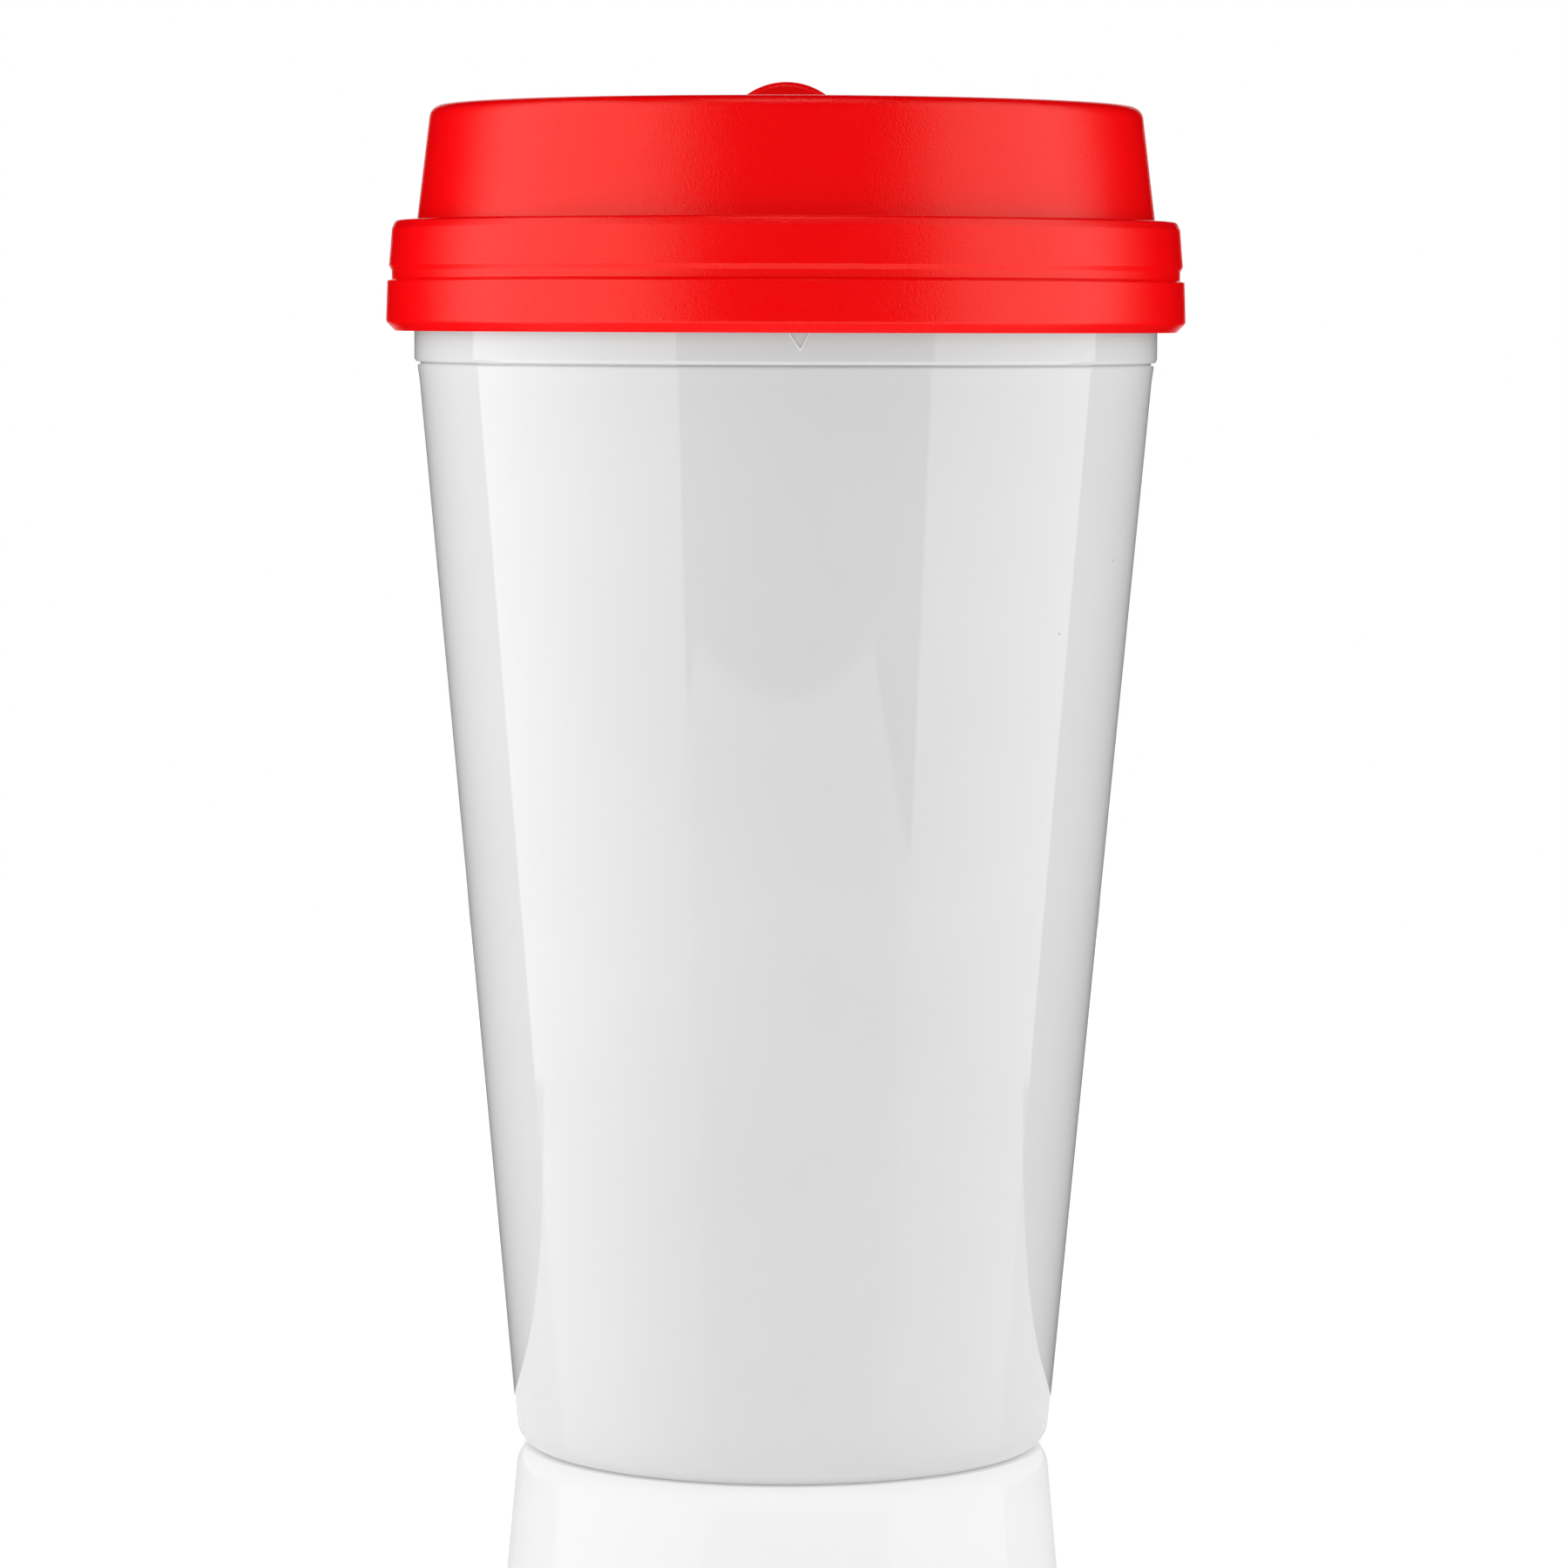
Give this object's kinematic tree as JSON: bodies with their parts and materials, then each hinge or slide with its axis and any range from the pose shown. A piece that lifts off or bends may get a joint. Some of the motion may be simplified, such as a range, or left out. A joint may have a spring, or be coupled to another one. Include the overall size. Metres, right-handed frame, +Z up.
{
  "type": "travel tumbler",
  "caption": "Tapered double-wall travel tumbler with a screw-on lid, a stepped and grooved lid skirt and a thumb slide over the drinking hole.",
  "frame": {"origin": "centre of the foot ring on the surface that the tumbler stands on", "axes": "+Z up along the axis of the cup; -Y is the front, where the drinking hole and the collar's index mark are; +X to the right"},
  "size_m": [0.09, 0.09, 0.1543],
  "materials": {
    "white_shell": "high gloss white moulded plastic",
    "white_liner": "gloss white moulded plastic",
    "seal_rubber": "milky silicone",
    "red_lid": "satin red moulded plastic with a fine grain",
    "red_slider": "satin red moulded plastic"
  },
  "bodies": {
    "cup": {"outer_shell": "white_shell", "inner_liner": "white_liner"},
    "seal": {"lid_gasket": "seal_rubber"},
    "lid": {"lid": "red_lid"},
    "slide": {"slider": "red_slider"}
  },
  "joints": [
    {"name": "lid_lift", "type": "slide", "parent": "cup", "child": "seal", "axis": [0, 0, 1], "range_m": [0, 0.0121]},
    {"name": "lid_turn", "type": "hinge", "parent": "seal", "child": "lid", "pos_m": [0, 0, 0.13], "axis": [0, 0, 1], "range_deg": [0, 720]},
    {"name": "slider_slide", "type": "slide", "parent": "lid", "child": "slide", "axis": [0, 1, 0], "range_m": [0, 0.0112]}
  ],
  "couplings": [
    {"joint": "lid_lift", "follows": "lid_turn", "m_per_rad": 0.00095493}
  ]
}
